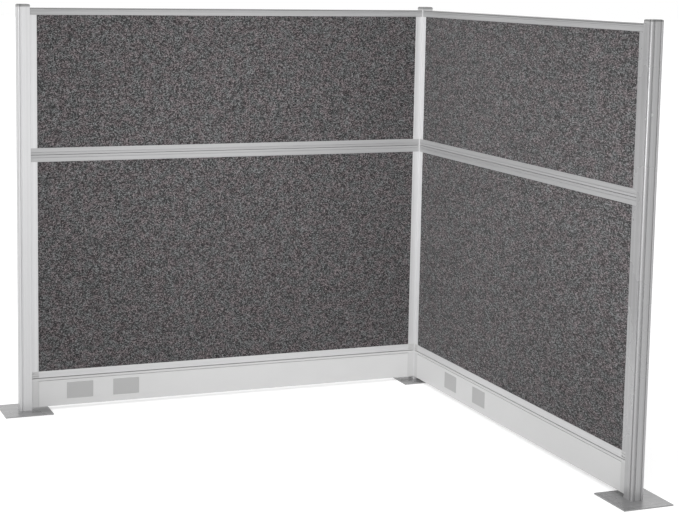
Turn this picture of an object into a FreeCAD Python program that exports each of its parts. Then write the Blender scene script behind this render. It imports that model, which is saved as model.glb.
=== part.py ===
import FreeCAD, Part
import os

# Cubicle workstation wall: two framed, fabric-faced walls that meet at a right angle on a corner post.
# Each wall is a tall lower frame with a shorter one stacked on it, over a powered base raceway.
# Frame of the part: +Z up, floor at z = 0, origin under the middle of the square that the walls enclose.
# The back wall lies along X and the side wall along Y. The inside of the L faces -X and -Y.

# Overall sizes
INCH = 25.4
wall_length = 72 * INCH
panel_top = 67 * INCH
tier_seam = 43 * INCH
panel_depth = 1.75 * INCH

# Posts, caps and feet
post_side = 2 * INCH
post_bead_radius = 6.0
post_wall = 2.4
post_land_rise = 2.4
post_land_width = 19.0
post_above_panel = 3.0
screw_port_radius = 2.1
cap_height = 12.7
cap_chamfer = 3.2
tongue_width = 20.0
tongue_thickness = 1.8
tongue_depth = 20.0
plate_side = 8 * INCH
plate_thickness = 4.8
plate_corner_radius = 2.0
foot_screw_radius = 2.0
foot_screw_length = 30.0
foot_screw_head_radius = 4.6
foot_screw_head_height = 2.6

# Frame extrusions
rail_face = 1.125 * INCH
stile_face = 1.125 * INCH
rail_box = 12.0
stile_box = 9.5
extrusion_wall = 1.8
outer_edge_radius = 1.2
accent_groove_inset = 10.0
accent_groove_width = 1.4
accent_groove_depth = 0.6

# Fabric pads and core boards
pad_thickness = 10.0
infill_side_gap = 0.6

# Raceway
raceway_bottom = 16.0
frame_bottom = 141.3
shadow_gap = 2.8
chassis_lip = 8.0
sheet = 1.5
fold_radius_share = 0.6
bracket_width = 1.125 * INCH
bracket_window_width = 26.0
bracket_window_margin = 22.0
cover_return = 8.0
cover_top_gap = 1.0
cover_end_gap = 0.5
chassis_entry = 10.0

# Receptacle cut-outs and their blank plates
blank_width = 4.5 * INCH
blank_height = 2.75 * INCH
blank_bottom = 44.0
blank_plate_thickness = 2.0
blank_corner_radius = 2.0
blank_tab_width = 24.0
blank_tab_depth = 5.0
blank_tab_thickness = 1.6
back_first_blank = 7 * INCH
back_blank_pitch = 8 * INCH
side_first_blank = 13.5 * INCH
side_blank_pitch = 10.5 * INCH

# Power harness
block_length = 96.0
block_depth = 34.0
block_height = 44.0
conduit_depth = 13.0
conduit_height = 22.0

# Hidden joining pieces
key_leg = 60.0
key_depth = 36.0
end_block_tongue = 30.0
tongue_plate_thickness = 3.0
tongue_plate_length = 50.0
tongue_plate_width = 19.4
tongue_end_distance = 150.0
tier_tongue_end_distance = 260.0
bracket_screw_radius = 1.75
bracket_screw_head_radius = 3.6
hanger_screw_radius = 2.4
hanger_screw_head_radius = 4.5
pan_head_height = 2.2
pan_head_screw_length = 12.0
bracket_screw_inset = 12.0
hanger_end_distance = 240.0
hanger_boss_radius = 9.0
clip_width = 16.0
clip_thickness = 1.0
clip_leg = 14.0
clip_foot = 8.0
clip_count = 4
clip_end_distance = 90.0

# Clearances and the overrun of every cut
running_clearance = 0.3
fit_clearance = 0.2
thread_clearance = 0.1
overrun = 1.0

# Sizes that follow
half_post = post_side / 2
half_panel = panel_depth / 2
post_top = panel_top + post_above_panel
tube_outer = half_post - post_land_rise
tube_inner = tube_outer - post_wall
bead_centre = half_post - post_bead_radius
core_thickness = panel_depth - 2 * (extrusion_wall + fit_clearance + pad_thickness)
panel_start = half_post
panel_end = wall_length - half_post
cover_start = half_post + bracket_width + cover_end_gap
cover_end = wall_length - cover_start
chassis_top = frame_bottom - shadow_gap
lip_bottom = chassis_top - sheet - chassis_lip
cover_top = lip_bottom - cover_top_gap
cover_bottom = raceway_bottom
chassis_floor = raceway_bottom + sheet + running_clearance
half_wall = wall_length / 2


def vector(x, y, z):
    return FreeCAD.Vector(x, y, z)


def block(u0, u1, v0, v1, z0, z1):
    """A rectangular solid between two values on each axis."""
    return Part.makeBox(u1 - u0, v1 - v0, z1 - z0, vector(u0, v0, z0))


def round_edges(shape, radius, chosen):
    """Rounds the edges that the test picks."""
    edges = [edge for edge in shape.Edges if chosen(edge)]
    return shape.makeFillet(radius, edges)


def runs_along(edge, axis):
    first, last = edge.Vertexes[0].Point, edge.Vertexes[-1].Point
    run = last - first
    return abs(run.dot(axis)) > (1 - 1e-6) * run.Length and run.Length > 0


def group(shapes):
    return Part.makeCompound(shapes)


def mirrored_over_wall(shape):
    """The same piece on the other face of the wall."""
    return shape.mirror(vector(0, 0, 0), vector(0, 1, 0))


def mirrored_end_for_end(shape):
    """The same piece at the other end of the wall."""
    return shape.mirror(vector(half_wall, 0, 0), vector(1, 0, 0))


def both_ends(shape):
    return [shape, mirrored_end_for_end(shape)]


# A wall is built along its own u axis, which starts at the post on the left of someone inside the L.
# v points out of the L. These two placements put a wall and its posts where they stand.
back_placement = FreeCAD.Placement(vector(-half_wall, half_wall, 0), FreeCAD.Rotation(vector(0, 0, 1), 0))
side_placement = FreeCAD.Placement(vector(half_wall, half_wall, 0), FreeCAD.Rotation(vector(0, 0, 1), -90))
WALLS = {"back": back_placement, "side": side_placement}
POSTS = {
    "left": vector(-half_wall, half_wall, 0),
    "corner": vector(half_wall, half_wall, 0),
    "right": vector(half_wall, -half_wall, 0),
}
nodes = {}


def place(shape, placement):
    moved = shape.copy()
    moved.Placement = placement.multiply(moved.Placement)
    return moved


def at(shape, point):
    moved = shape.copy()
    moved.translate(point)
    return moved


# Posts
def tongue_heights():
    """Where the steel tongues join the frames to the posts: two for each frame."""
    heights = []
    for low, high in ((frame_bottom, tier_seam), (tier_seam, panel_top)):
        heights += [low + tongue_end_distance, high - tongue_end_distance]
    return heights


def tongue(u, z, width_u, width_z, clearance):
    """A flat steel tongue that lines up two extrusions, or the slot for it."""
    half_thick = tongue_plate_thickness / 2 + clearance
    half_u = width_u / 2 + clearance
    half_z = width_z / 2 + clearance
    return block(u - half_u, u + half_u, -half_thick, half_thick, z - half_z, z + half_z)


def post_tongues(clearance):
    """The upright tongues between the left post and its stiles."""
    last = panel_start + stile_box - extrusion_wall - fit_clearance
    u = last - tongue_plate_width / 2
    return [tongue(u, z, tongue_plate_width, tongue_plate_length, clearance) for z in tongue_heights()]


def tier_tongues(clearance):
    """The lying tongues between the two tiers."""
    places = [tier_tongue_end_distance, half_wall, wall_length - tier_tongue_end_distance]
    return [tongue(u, tier_seam, tongue_plate_length, tongue_plate_width, clearance) for u in places]


def bracket_screw_heights():
    return [raceway_bottom + bracket_screw_inset, lip_bottom - bracket_screw_inset]


def panel_fixings(post):
    """Cuts the tongue slots and the bracket screw holes in the face of a post that looks along +X."""
    for slot in post_tongues(fit_clearance):
        post = post.cut(slot)
    for height in bracket_screw_heights():
        hole = Part.makeCylinder(
            bracket_screw_radius + thread_clearance, half_post - tube_inner + 2 * overrun,
            vector(tube_inner - overrun, 0, height), vector(1, 0, 0),
        )
        post = post.cut(hole)
    return post


def port_places():
    """The middles of the four corner beads, which hold the screw ports."""
    return [(x, y) for x in (-bead_centre, bead_centre) for y in (-bead_centre, bead_centre)]


def make_post(panel_faces):
    """A square extruded tube with a bead at each corner and a raised land down the middle of each face."""
    bottom, top = plate_thickness, post_top
    half_land = post_land_width / 2
    body = block(-tube_outer, tube_outer, -tube_outer, tube_outer, bottom, top)
    body = body.fuse(block(-half_post, half_post, -half_land, half_land, bottom, top))
    body = body.fuse(block(-half_land, half_land, -half_post, half_post, bottom, top))
    body = body.cut(block(-tube_inner, tube_inner, -tube_inner, tube_inner, bottom, top))
    for x, y in port_places():
        body = body.fuse(Part.makeCylinder(post_bead_radius, top - bottom, vector(x, y, bottom)))
    for x, y in port_places():
        body = body.cut(Part.makeCylinder(screw_port_radius, top - bottom, vector(x, y, bottom)))
    body = body.removeSplitter()
    for angle in panel_faces:
        turn = FreeCAD.Placement(vector(0, 0, 0), FreeCAD.Rotation(vector(0, 0, 1), angle))
        body = place(panel_fixings(place(body, turn.inverse())), turn)
    return body


def make_cap():
    """A low cap with chamfered top edges and four tongues that spring against the inside of the post."""
    lid = block(-half_post, half_post, -half_post, half_post, post_top, post_top + cap_height)
    lid = round_edges(lid, post_bead_radius, lambda edge: runs_along(edge, vector(0, 0, 1)))
    top_edges = [edge for edge in lid.Edges if edge.BoundBox.ZMin > post_top + cap_height / 2]
    lid = lid.makeChamfer(cap_chamfer, top_edges)
    reach = tube_inner - running_clearance
    half_tongue = tongue_width / 2
    low = post_top - tongue_depth
    for angle in (0, 90, 180, 270):
        tongue = block(reach - tongue_thickness, reach, -half_tongue, half_tongue, low, post_top)
        tongue.rotate(vector(0, 0, 0), vector(0, 0, 1), angle)
        lid = lid.fuse(tongue)
    return lid.removeSplitter()


def foot_screw(x, y, clearance):
    """A countersunk screw from under the plate into the screw port of a bead, or the hole for it."""
    radius = foot_screw_radius + clearance
    head_radius = foot_screw_head_radius + clearance
    shank = Part.makeCylinder(radius, foot_screw_length, vector(x, y, 0))
    head = Part.makeCone(head_radius, radius, foot_screw_head_height, vector(x, y, 0))
    return shank.fuse(head).removeSplitter()


def make_plate():
    half_plate = plate_side / 2
    plate = block(-half_plate, half_plate, -half_plate, half_plate, 0, plate_thickness)
    plate = round_edges(plate, plate_corner_radius, lambda edge: runs_along(edge, vector(0, 0, 1)))
    for x, y in port_places():
        plate = plate.cut(foot_screw(x, y, fit_clearance))
    return plate


def cable_window(angle):
    """The window in a face of the corner post, which lets cables pass from one raceway to the other."""
    half_window = bracket_window_width / 2
    window = block(0, half_post + overrun, -half_window, half_window,
                   raceway_bottom + bracket_window_margin, lip_bottom - bracket_window_margin)
    window.rotate(vector(0, 0, 0), vector(0, 0, 1), angle)
    return window


PANEL_FACES = {"left": [0], "corner": [180, -90], "right": [90]}
foot_screws = []
for name, foot in POSTS.items():
    post = make_post(PANEL_FACES[name])
    if name == "corner":
        for angle in PANEL_FACES[name]:
            post = post.cut(cable_window(angle))
    nodes[name + "_post"] = at(post, foot)
    nodes[name + "_post_cap"] = at(make_cap(), foot)
    nodes[name + "_foot_plate"] = at(make_plate(), foot)
    foot_screws += [at(foot_screw(x, y, 0), foot) for x, y in port_places()]
nodes["foot_screws"] = group(foot_screws)


# Frames
def channel_section(length, face, box_depth):
    """An extrusion along u. Its closed box lies at z = 0 and its open channel, for the infill, looks up."""
    along_u = vector(1, 0, 0)
    body = block(0, length, -half_panel, half_panel, 0, face)
    body = round_edges(
        body, outer_edge_radius, lambda edge: runs_along(edge, along_u) and edge.BoundBox.ZMax < face / 2
    )
    inside = half_panel - extrusion_wall
    first, last = -overrun, length + overrun
    body = body.cut(block(first, last, -inside, inside, extrusion_wall, box_depth - extrusion_wall))
    return body.cut(block(first, last, -inside, inside, box_depth, face + overrun))


def rail(start, end):
    """A rail with an accent groove along both faces, its box at z = 0."""
    length = end - start
    body = channel_section(length, rail_face, rail_box)
    low = accent_groove_inset
    high = accent_groove_inset + accent_groove_width
    groove_floor = half_panel - accent_groove_depth
    groove = block(-overrun, length + overrun, groove_floor, half_panel + overrun, low, high)
    body = body.cut(groove).cut(mirrored_over_wall(groove))
    body.translate(vector(start, 0, 0))
    return body


def key_notches(body):
    """Opens the inner web at both ends, for the corner keys."""
    inside = half_panel - extrusion_wall
    for end in (panel_start, panel_end):
        notch = block(end - stile_box, end + stile_box, -inside, inside,
                      rail_box - extrusion_wall - overrun, rail_box + overrun)
        body = body.cut(notch)
    return body


def hanger_places():
    return [hanger_end_distance, half_wall, wall_length - hanger_end_distance]


def box_down(body, level):
    body.translate(vector(0, 0, level))
    return body


def box_up(body, level):
    turned = body.mirror(vector(0, 0, 0), vector(0, 0, 1))
    turned.translate(vector(0, 0, level))
    return turned


def make_rails():
    """The four rails of a wall, from the floor up."""
    lower_bottom = box_down(rail(panel_start + bracket_width, panel_end - bracket_width), frame_bottom)
    lower_top = box_up(key_notches(rail(panel_start, panel_end)), tier_seam)
    upper_bottom = box_down(key_notches(rail(panel_start, panel_end)), tier_seam)
    upper_top = box_up(key_notches(rail(panel_start, panel_end)), panel_top)
    for slot in tier_tongues(fit_clearance):
        lower_top = lower_top.cut(slot)
        upper_bottom = upper_bottom.cut(slot)
    for u in hanger_places():
        hole = Part.makeCylinder(
            hanger_screw_radius + thread_clearance, extrusion_wall + 2 * overrun,
            vector(u, 0, frame_bottom - overrun),
        )
        lower_bottom = lower_bottom.cut(hole)
    return {
        "lower_bottom_rail": lower_bottom,
        "lower_top_rail": lower_top,
        "upper_bottom_rail": upper_bottom,
        "upper_top_rail": upper_top,
    }


def make_stile(low, high):
    """The upright at the left end of a frame, between its two rails, box against the post."""
    body = channel_section(high - low, stile_face, stile_box)
    body.rotate(vector(0, 0, 0), vector(0, 1, 0), -90)
    body = body.mirror(vector(0, 0, 0), vector(1, 0, 0))
    body.translate(vector(panel_start, 0, low))
    for slot in post_tongues(fit_clearance):
        body = body.cut(slot)
    return body


def corner_key(level, direction):
    """An angle key: one leg lies in the box of a rail and the other stands in the box of the stile."""
    slack = extrusion_wall + fit_clearance
    half_key = key_depth / 2
    foot_low = slack
    foot_high = rail_box - slack
    lying = block(panel_start + slack, panel_start + key_leg, -half_key, half_key, foot_low, foot_high)
    standing = block(panel_start + slack, panel_start + stile_box - slack, -half_key, half_key,
                     foot_low, rail_face + key_leg)
    key = lying.fuse(standing).removeSplitter()
    return box_down(key, level) if direction > 0 else box_up(key, level)


def end_block():
    """The moulded block under the stile, with one tongue up into the stile and one along into the rail."""
    slack = extrusion_wall + fit_clearance
    half_key = key_depth / 2
    start, end = panel_start, panel_start + bracket_width
    lowest = frame_bottom + outer_edge_radius
    body = block(start, end, -half_panel, half_panel, frame_bottom, frame_bottom + rail_face)
    body = round_edges(
        body, outer_edge_radius,
        lambda edge: runs_along(edge, vector(1, 0, 0)) and edge.BoundBox.ZMax < lowest,
    )
    inside = half_panel - extrusion_wall
    channel = block(start + stile_box, end + overrun, -inside, inside,
                    frame_bottom + rail_box, frame_bottom + rail_face + overrun)
    body = body.cut(channel)
    upward = block(start + slack, start + stile_box - slack, -half_key, half_key,
                   frame_bottom + rail_face - overrun, frame_bottom + rail_face + end_block_tongue)
    along = block(end - overrun, end + end_block_tongue, -half_key, half_key,
                  frame_bottom + slack, frame_bottom + rail_box - slack)
    return body.fuse(upward).fuse(along).removeSplitter()


def infill(low, high):
    """The two pads and the core board between them, in the channels of the frame from low to high."""
    first = panel_start + stile_box + infill_side_gap
    last = wall_length - first
    bottom = low + rail_box + infill_side_gap
    top = high - rail_box - infill_side_gap
    half_core = core_thickness / 2
    core = block(first, last, -half_core, half_core, bottom, top)
    outer = block(first, last, half_core, half_core + pad_thickness, bottom, top)
    return core, mirrored_over_wall(outer), outer


core_boards = {"lower": [], "upper": []}
corner_keys = []
rail_end_blocks = []
joining_tongues = []
for wall, placement in WALLS.items():
    for name, shape in make_rails().items():
        nodes[wall + "_" + name] = place(shape, placement)
    for tier, low, high in (("lower", frame_bottom, tier_seam), ("upper", tier_seam, panel_top)):
        stile = make_stile(low + rail_face, high - rail_face)
        for end, shape in zip(("left", "right"), both_ends(stile)):
            nodes[wall + "_" + tier + "_" + end + "_stile"] = place(shape, placement)
        core, inner_pad, outer_pad = infill(low, high)
        core_boards[tier].append(place(core, placement))
        nodes[wall + "_" + tier + "_inner_fabric_pad"] = place(inner_pad, placement)
        nodes[wall + "_" + tier + "_outer_fabric_pad"] = place(outer_pad, placement)
    for level, direction in ((tier_seam, -1), (tier_seam, 1), (panel_top, -1)):
        corner_keys += [place(key, placement) for key in both_ends(corner_key(level, direction))]
    rail_end_blocks += [place(shape, placement) for shape in both_ends(end_block())]
    for shape in post_tongues(0):
        joining_tongues += [place(piece, placement) for piece in both_ends(shape)]
    joining_tongues += [place(shape, placement) for shape in tier_tongues(0)]
for tier, boards in core_boards.items():
    nodes[tier + "_core_boards"] = group(boards)
nodes["frame_corner_keys"] = group(corner_keys)
nodes["rail_end_blocks"] = group(rail_end_blocks)
nodes["joining_tongues"] = group(joining_tongues)


# Raceway
def window_places(first, pitch):
    """The middles of the two receptacle cut-outs, from the post on the left."""
    return [cover_start + first, cover_start + first + pitch]


def make_chassis(windows):
    """A folded channel under the bottom rail, with a middle web and a floor that divide the wireway."""
    start, end = panel_start, panel_end
    half_sheet = sheet / 2
    top = block(start, end, -half_panel, half_panel, chassis_top - sheet, chassis_top)
    lip = block(start, end, half_panel - sheet, half_panel, lip_bottom, chassis_top)
    body = top.fuse(lip).fuse(mirrored_over_wall(lip))
    inner_start = start + bracket_width
    inner_end = end - bracket_width
    web = block(inner_start, inner_end, -half_sheet, half_sheet, chassis_floor, chassis_top - sheet)
    under_bracket_top = lip_bottom - sheet - running_clearance
    entry = block(inner_start - chassis_entry, inner_end + chassis_entry, -half_sheet, half_sheet,
                  chassis_floor, under_bracket_top)
    half_floor = half_panel - sheet - running_clearance - fit_clearance
    floor = block(inner_start - chassis_entry, inner_end + chassis_entry, -half_floor, half_floor,
                  chassis_floor, chassis_floor + sheet)
    body = body.fuse(web).fuse(entry).fuse(floor)
    for u in windows:
        body = body.cut(power_block_space(u, running_clearance))
    for u in hanger_places():
        body = body.fuse(Part.makeCylinder(hanger_boss_radius, shadow_gap, vector(u, 0, chassis_top)))
        hole = Part.makeCylinder(
            hanger_screw_radius + fit_clearance, sheet + shadow_gap + 2 * overrun,
            vector(u, 0, chassis_top - sheet - overrun),
        )
        web_notch = block(
            u - hanger_boss_radius, u + hanger_boss_radius, -sheet, sheet,
            chassis_top - sheet - hanger_boss_radius, chassis_top - sheet,
        )
        body = body.cut(hole).cut(web_notch)
    return body.removeSplitter()


def power_block_space(u, clearance):
    """A two-sided power block behind a cut-out, or the window for it in the web."""
    half_length = block_length / 2 + clearance
    half_deep = block_depth / 2 + clearance
    middle = blank_bottom + blank_height / 2
    half_high = block_height / 2 + clearance
    low, high = middle - half_high, middle + half_high
    return block(u - half_length, u + half_length, -half_deep, half_deep, low, high)


def make_harness(windows):
    """Two power blocks and the flat conduit that feeds them along the outer side of the web."""
    middle = blank_bottom + blank_height / 2
    near = sheet / 2 + running_clearance
    run_start = panel_start + bracket_width + chassis_entry
    conduit = block(run_start, wall_length - run_start, near, near + conduit_depth,
                    middle - conduit_height / 2, middle + conduit_height / 2)
    body = conduit
    for u in windows:
        body = body.fuse(power_block_space(u, 0))
    return body.removeSplitter()


def make_bracket():
    """A short square duct that closes the raceway against the post, with a window for the cables."""
    start, end = panel_start, panel_start + bracket_width
    body = block(start, end, -half_panel, half_panel, raceway_bottom, lip_bottom)
    body = body.cut(block(start + sheet, end + overrun, -half_panel + sheet, half_panel - sheet,
                          raceway_bottom + sheet, lip_bottom - sheet))
    half_window = bracket_window_width / 2
    body = body.cut(block(start - overrun, start + sheet + overrun, -half_window, half_window,
                          raceway_bottom + bracket_window_margin, lip_bottom - bracket_window_margin))
    for height in bracket_screw_heights():
        body = body.cut(Part.makeCylinder(bracket_screw_radius + fit_clearance, sheet + 2 * overrun,
                                          vector(start - overrun, 0, height), vector(1, 0, 0)))
    return body


def pan_head_screw(radius, head_radius, seat, way_in):
    """A screw whose head lies on a seat and whose shank points the way in."""
    shank = Part.makeCylinder(radius, pan_head_screw_length, seat, way_in)
    head = Part.makeCylinder(head_radius, pan_head_height, seat, way_in.negative())
    return shank.fuse(head).removeSplitter()


def bracket_screw(height):
    """The screw through the back of the left bracket into the post."""
    seat = vector(panel_start + sheet, 0, height)
    return pan_head_screw(bracket_screw_radius, bracket_screw_head_radius, seat, vector(-1, 0, 0))


def hanger_screw(u):
    """The screw that hangs the chassis from the bottom rail."""
    seat = vector(u, 0, chassis_top - sheet)
    return pan_head_screw(hanger_screw_radius, hanger_screw_head_radius, seat, vector(0, 0, 1))


def cut_out(u, clearance):
    """The outline of a blank plate through the outer face of a cover."""
    half_width = blank_width / 2 - clearance
    low = blank_bottom + clearance
    high = blank_bottom + blank_height - clearance
    return low, high, u - half_width, u + half_width


def make_cover(windows):
    """The outer snap-on cover: a flat sheet with a lip folded in along its top and bottom edges."""
    face = block(cover_start, cover_end, half_panel - sheet, half_panel, cover_bottom, cover_top)
    inner = half_panel - cover_return
    top_lip = block(cover_start, cover_end, inner, half_panel, cover_top - sheet, cover_top)
    bottom_lip = block(cover_start, cover_end, inner, half_panel, cover_bottom, cover_bottom + sheet)
    body = face.fuse(top_lip).fuse(bottom_lip).removeSplitter()
    body = round_edges(
        body, sheet * fold_radius_share,
        lambda edge: runs_along(edge, vector(1, 0, 0)) and edge.BoundBox.YMin > half_panel - sheet / 2,
    )
    for u in windows:
        low, high, left, right = cut_out(u, 0)
        opening = block(left, right, half_panel - sheet - overrun, half_panel + overrun, low, high)
        opening = round_edges(opening, blank_corner_radius, lambda edge: runs_along(edge, vector(0, 1, 0)))
        body = body.cut(opening)
    return body


def make_blank(u):
    """A blank plate flush in its cut-out, with a springy tab at each end."""
    low, high, left, right = cut_out(u, running_clearance)
    back = half_panel - blank_plate_thickness
    plate = block(left, right, back, half_panel, low, high)
    plate = round_edges(plate, blank_corner_radius, lambda edge: runs_along(edge, vector(0, 1, 0)))
    middle = (low + high) / 2
    half_tab = blank_tab_width / 2
    for edge, inward in ((left, 1), (right, -1)):
        first = edge + inward * fit_clearance
        last = first + inward * blank_tab_thickness
        tab = block(min(first, last), max(first, last), back - blank_tab_depth, back,
                    middle - half_tab, middle + half_tab)
        plate = plate.fuse(tab)
    return plate.removeSplitter()


def clip_places():
    step = (wall_length - 2 * (cover_start + clip_end_distance)) / (clip_count - 1)
    return [cover_start + clip_end_distance + step * index for index in range(clip_count)]


def cover_clip(u):
    """A spring clip under the top of the chassis, which presses on the folded lip of the outer cover."""
    ceiling = chassis_top - sheet
    outer = half_panel - cover_return - running_clearance
    half_clip = clip_width / 2
    leg = block(u - half_clip, u + half_clip, outer - clip_thickness, outer, ceiling - clip_leg, ceiling)
    foot = block(u - half_clip, u + half_clip, outer - clip_foot, outer, ceiling - clip_thickness, ceiling)
    return leg.fuse(foot).removeSplitter()


BLANKS = {"back": (back_first_blank, back_blank_pitch), "side": (side_first_blank, side_blank_pitch)}
end_brackets = []
bracket_screws = []
hanger_screws = []
cover_clips = []
for wall, placement in WALLS.items():
    windows = window_places(*BLANKS[wall])
    nodes[wall + "_raceway_chassis"] = place(make_chassis(windows), placement)
    nodes[wall + "_power_harness"] = place(make_harness(windows), placement)
    outer_cover = make_cover(windows)
    nodes[wall + "_outer_cover"] = place(outer_cover, placement)
    nodes[wall + "_inner_cover"] = place(mirrored_over_wall(outer_cover), placement)
    for index, u in enumerate(windows, 1):
        blank = make_blank(u)
        nodes[wall + "_outer_blank_%d" % index] = place(blank, placement)
        nodes[wall + "_inner_blank_%d" % index] = place(mirrored_over_wall(blank), placement)
    end_brackets += [place(shape, placement) for shape in both_ends(make_bracket())]
    for height in bracket_screw_heights():
        bracket_screws += [place(shape, placement) for shape in both_ends(bracket_screw(height))]
    hanger_screws += [place(hanger_screw(u), placement) for u in hanger_places()]
    for u in clip_places():
        clip = cover_clip(u)
        cover_clips += [place(clip, placement), place(mirrored_over_wall(clip), placement)]
nodes["raceway_end_brackets"] = group(end_brackets)
nodes["raceway_bracket_screws"] = group(bracket_screws)
nodes["raceway_hanger_screws"] = group(hanger_screws)
nodes["cover_clips"] = group(cover_clips)

os.makedirs("parts", exist_ok=True)
for name, shape in nodes.items():
    shape.exportStep("parts/" + name + ".step")
    print(name, len(shape.Solids), shape.isValid(), round(shape.Volume))
print(len(nodes), "nodes")
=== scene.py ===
import math
import random

import bmesh
import bpy
from mathutils import Matrix, Vector


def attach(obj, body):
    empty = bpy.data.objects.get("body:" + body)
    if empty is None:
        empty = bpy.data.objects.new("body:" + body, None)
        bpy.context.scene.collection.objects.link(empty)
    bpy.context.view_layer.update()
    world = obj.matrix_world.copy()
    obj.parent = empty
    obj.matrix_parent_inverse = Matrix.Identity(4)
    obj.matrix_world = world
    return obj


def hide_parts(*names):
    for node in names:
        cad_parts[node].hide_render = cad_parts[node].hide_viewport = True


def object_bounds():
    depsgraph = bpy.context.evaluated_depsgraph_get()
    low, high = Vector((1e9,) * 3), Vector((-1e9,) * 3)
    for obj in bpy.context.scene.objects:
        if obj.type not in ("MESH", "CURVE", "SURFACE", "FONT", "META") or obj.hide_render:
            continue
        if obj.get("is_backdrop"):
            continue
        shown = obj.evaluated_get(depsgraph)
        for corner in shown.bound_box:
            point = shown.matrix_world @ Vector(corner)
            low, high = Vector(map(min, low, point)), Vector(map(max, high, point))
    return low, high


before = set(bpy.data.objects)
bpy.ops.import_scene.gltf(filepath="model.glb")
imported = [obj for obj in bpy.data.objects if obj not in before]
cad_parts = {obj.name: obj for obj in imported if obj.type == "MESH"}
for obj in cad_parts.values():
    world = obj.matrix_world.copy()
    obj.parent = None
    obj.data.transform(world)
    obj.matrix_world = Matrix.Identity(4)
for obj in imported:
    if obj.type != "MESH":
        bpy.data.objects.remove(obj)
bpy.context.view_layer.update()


# Camera: a long lens held at a standing person's height, outside the open side of the L.
# Its axis passes left of and above the picture's middle, so the lens is shifted.
photo_width, photo_height = 679, 517
focal_pixels = 1592.07
camera_yaw, camera_pitch, camera_roll = 0.36476, -0.12763, 0.01487
camera_place = Vector((-2.21529, -5.63310, 1.84825))
lens_axis_x, lens_axis_y = 292.5, 180.0
gaze = Vector((
    math.sin(camera_yaw) * math.cos(camera_pitch),
    math.cos(camera_yaw) * math.cos(camera_pitch),
    math.sin(camera_pitch),
))
level_right = Vector((math.cos(camera_yaw), -math.sin(camera_yaw), 0.0))
level_up = level_right.cross(gaze)
frame_right = level_right * math.cos(camera_roll) + level_up * math.sin(camera_roll)
frame_up = level_up * math.cos(camera_roll) - level_right * math.sin(camera_roll)
camera_data = bpy.data.cameras.new("long_lens")
camera_data.sensor_width = 36.0
camera_data.lens = focal_pixels * camera_data.sensor_width / photo_width
camera_data.shift_x = (photo_width / 2 - lens_axis_x) / photo_width
camera_data.shift_y = (lens_axis_y - photo_height / 2) / photo_width
camera_data.clip_end = 200.0
camera = bpy.data.objects.new("long_lens", camera_data)
bpy.context.scene.collection.objects.link(camera)
turn = Matrix((frame_right, frame_up, -gaze)).transposed().to_4x4()
camera.matrix_world = Matrix.Translation(camera_place) @ turn
bpy.context.scene.camera = camera
bpy.context.scene.view_settings.view_transform = "Standard"


# Studio: a white floor and an even white room. Two broad soft suns stand in for lamp banks, a low
# one over the open side of the L and one behind it. Two soft boxes light the corner and a small one
# the last post. The floor keeps the object's shadow.
room_level = 0.60
floor_reach, floor_tone, floor_glow = 60.0, 0.75, 0.48
LAMP_BANKS = {
    "key_lamp_bank": (0.52, 70, (-0.95, -1.05, 1.1)),
    "back_lamp_bank": (0.75, 45, (0.4, 1.0, 1.6)),
}
SOFT_BOXES = {
    "wide_soft_box": (9.5, 1.6, 95, (-1.15, -1.2, 1.9), (0.6, 0.9, 0.6)),
    "corner_soft_box": (6.5, 1.5, 60, (-1.3, -1.5, 1.7), (0.75, 0.9, 1.0)),
    "post_strip_box": (4.8, 0.6, 100, (-0.7, -0.93, 1.2), (0.9, -1.6, 1.15)),
}


def hang_lamp(name, kind, turn, place=(0.0, 0.0, 0.0), **settings):
    """A lamp at a place, turned to where it shines."""
    lamp = bpy.data.lights.new(name, kind)
    for setting, value in settings.items():
        setattr(lamp, setting, value)
    holder = bpy.data.objects.new(name, lamp)
    bpy.context.scene.collection.objects.link(holder)
    holder.matrix_world = Matrix.Translation(place) @ turn.to_matrix().to_4x4()


def feed(socket, value):
    """Links a socket to another node's socket, or gives it a plain value."""
    if isinstance(value, bpy.types.NodeSocket):
        socket.id_data.links.new(value, socket)
    else:
        socket.default_value = value


def settle(node, **settings):
    """A node's settings by name. A name that is not the node's own is one of its sockets."""
    for name, value in settings.items():
        if hasattr(node, name):
            setattr(node, name, value)
        else:
            feed(node.inputs[name.replace("_", " ")], value)


def place_node(tree, kind, *feeds, **settings):
    """A new node with its settings and, in order, what feeds its first sockets."""
    node = tree.nodes.new(kind)
    settle(node, **settings)
    for socket, value in zip(node.inputs, feeds):
        feed(socket, value)
    return node


def new_material(name):
    """An empty material with its shader."""
    material = bpy.data.materials.new(name)
    material.use_nodes = True
    tree = material.node_tree
    tree.nodes.clear()
    shader = tree.nodes.new("ShaderNodeBsdfPrincipled")
    place_node(tree, "ShaderNodeOutputMaterial", shader.outputs["BSDF"])
    return material, tree, shader


def grey(shade):
    """A plain grey as a colour."""
    return (shade, shade, shade, 1.0)


def seen_directly(tree, rays):
    """One where the camera or a shiny surface looks, nought for light that falls on the object."""
    return place_node(tree, "ShaderNodeMath", rays.outputs["Is Camera Ray"],
                      rays.outputs["Is Glossy Ray"], operation="MAXIMUM").outputs[0]


for name, (strength, spread, direction) in LAMP_BANKS.items():
    turn = Vector(direction).to_track_quat("Z", "Y")
    hang_lamp(name, "SUN", turn, energy=strength, angle=math.radians(spread))
for name, (watts, size, spread, place, aim) in SOFT_BOXES.items():
    turn = (Vector(aim) - Vector(place)).to_track_quat("-Z", "Y")
    hang_lamp(name, "AREA", turn, place, energy=watts, size=size, spread=math.radians(spread))

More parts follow.
